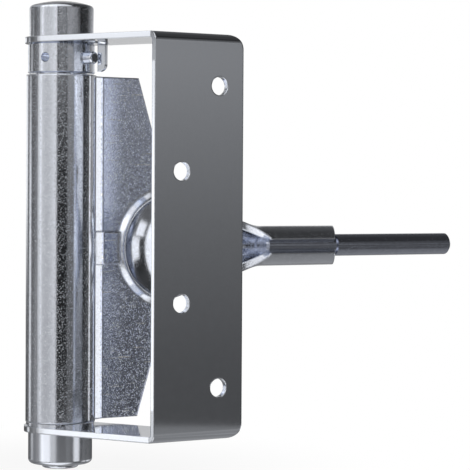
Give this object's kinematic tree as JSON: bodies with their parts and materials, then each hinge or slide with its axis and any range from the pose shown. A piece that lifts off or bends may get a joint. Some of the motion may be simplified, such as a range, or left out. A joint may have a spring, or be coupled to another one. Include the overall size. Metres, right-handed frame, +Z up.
{
  "type": "gate spring closer",
  "caption": "Sprung gate closer: folded wall bracket with slanted ears, tensioned spring barrel with winding collar, and a pressed swing arm ending in a round rod.",
  "frame": {"origin": "centre of the web's outer face, which lies against the post", "axes": "+X along the web's width and the arm at rest, -Y out of the mounting face, +Z up along the barrel towards the winding collar"},
  "size_m": [0.1749, 0.0597, 0.1566],
  "materials": {
    "zinc_sheet": "bright zinc plate on pressed sheet",
    "zinc_turned": "bright zinc plate on turned steel",
    "rod_steel": "bright zinc plate on drawn rod",
    "spring_steel": "dark oiled spring wire"
  },
  "bodies": {
    "bracket": {"bracket": "zinc_sheet"},
    "arm": {"arm_leaf": "zinc_sheet", "arm_rod": "rod_steel", "bottom_plug": "zinc_turned", "spindle": "zinc_turned", "bottom_washer": "zinc_turned", "bottom_cap": "zinc_turned", "torsion_spring": "spring_steel"},
    "collar": {"tension_collar": "zinc_turned", "top_cap": "zinc_turned", "locking_pin": "rod_steel"}
  },
  "joints": [
    {"name": "arm_swing", "type": "hinge", "parent": "bracket", "child": "arm", "pos_m": [-0.026, 0.0475, 0], "axis": [0, 0, 1], "range_deg": [-35, 135], "stiffness_Nm_per_rad": 1.5, "deforming": ["torsion_spring"]},
    {"name": "collar_turn", "type": "hinge", "parent": "bracket", "child": "collar", "pos_m": [-0.026, 0.0475, 0], "axis": [0, 0, 1], "range_deg": [-270, 0], "deforming": ["torsion_spring"]}
  ]
}
